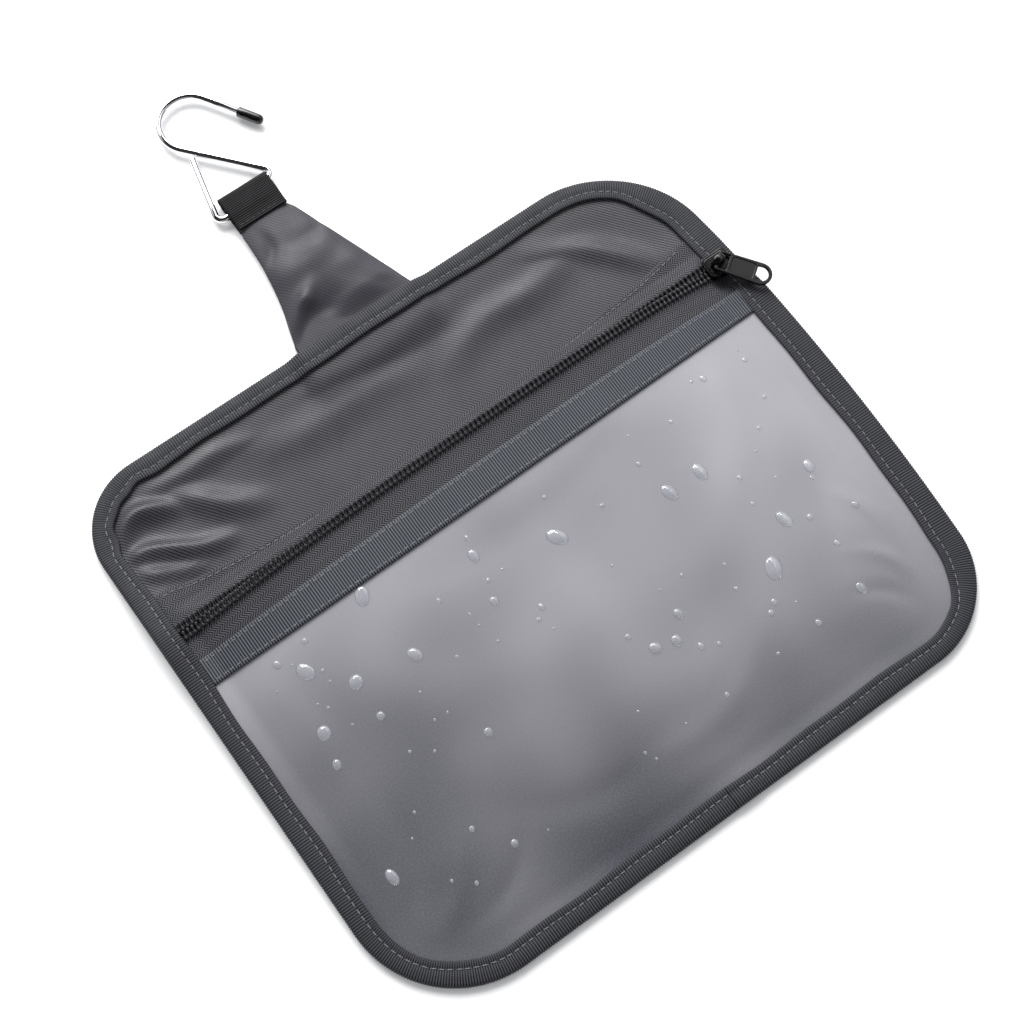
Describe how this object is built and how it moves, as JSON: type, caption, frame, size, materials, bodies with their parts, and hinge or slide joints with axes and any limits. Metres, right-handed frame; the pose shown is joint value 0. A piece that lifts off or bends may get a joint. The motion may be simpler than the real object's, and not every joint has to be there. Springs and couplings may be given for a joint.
{
  "type": "hanging toiletry bag",
  "caption": "Flat zipped toiletry pouch with a frosted see-through front, taped edges, a tapered fabric strap and a bent wire hook to hang it by.",
  "frame": {"origin": "middle of the pouch's back, on the surface that the pouch lies on", "axes": "+X along the zipper towards the slider when the pouch is open, +Y from the pouch to the hook, +Z out of the clear front"},
  "size_m": [0.2599, 0.3429, 0.0193],
  "materials": {
    "back_fabric": "woven twill, satin sheen",
    "window_film": "frosted flexible film",
    "grosgrain": "ribbed grosgrain",
    "zipper_tape": "herringbone tape",
    "zipper_coil": "moulded nylon coil",
    "slider_paint": "black paint",
    "strap_fabric": "woven twill",
    "webbing": "ribbed webbing",
    "thread": "sewing thread",
    "hook_chrome": "polished plating",
    "tip_vinyl": "dipped vinyl"
  },
  "bodies": {
    "pouch": {"back_panel": "back_fabric", "window_panel": "window_film", "binding_tape": "grosgrain", "zipper_tape_upper": "zipper_tape", "zipper_tape_lower": "zipper_tape", "zipper_coil_upper": "zipper_coil", "zipper_coil_lower": "zipper_coil", "zipper_band": "grosgrain", "binding_thread": "thread", "band_thread_lower": "thread", "band_thread_upper": "thread", "upper_tape_thread": "thread"},
    "slider": {"slider_body": "slider_paint", "slider_bail": "slider_paint"},
    "tab": {"pull_tab": "slider_paint"},
    "strap": {"strap_back_ply": "strap_fabric", "strap_front_ply": "strap_fabric", "webbing_loop": "webbing", "loop_thread": "thread"},
    "hook": {"hook_wire": "hook_chrome", "hook_tip_cap": "tip_vinyl"}
  },
  "joints": [
    {"name": "zip", "type": "slide", "parent": "pouch", "child": "slider", "axis": [0.9999, 0.0129, 0], "range_m": [-0.226, 0], "deforming": ["zipper_coil_lower", "zipper_tape_lower", "zipper_band", "band_thread_lower", "band_thread_upper"]},
    {"name": "tab_flip", "type": "hinge", "parent": "slider", "child": "tab", "pos_m": [0.121, 0.051, 0.0102], "axis": [-0.809, -0.5878, 0], "range_deg": [0, 140]},
    {"name": "strap_fold", "type": "hinge", "parent": "pouch", "child": "strap", "pos_m": [0, 0.1158, -0.0002], "axis": [1, 0, 0], "range_deg": [-120, 95]},
    {"name": "hook_swing", "type": "hinge", "parent": "strap", "child": "hook", "pos_m": [-0.0034, 0.1773, 0.0026], "axis": [0.9734, 0.2292, 0], "range_deg": [-105, 105]}
  ]
}
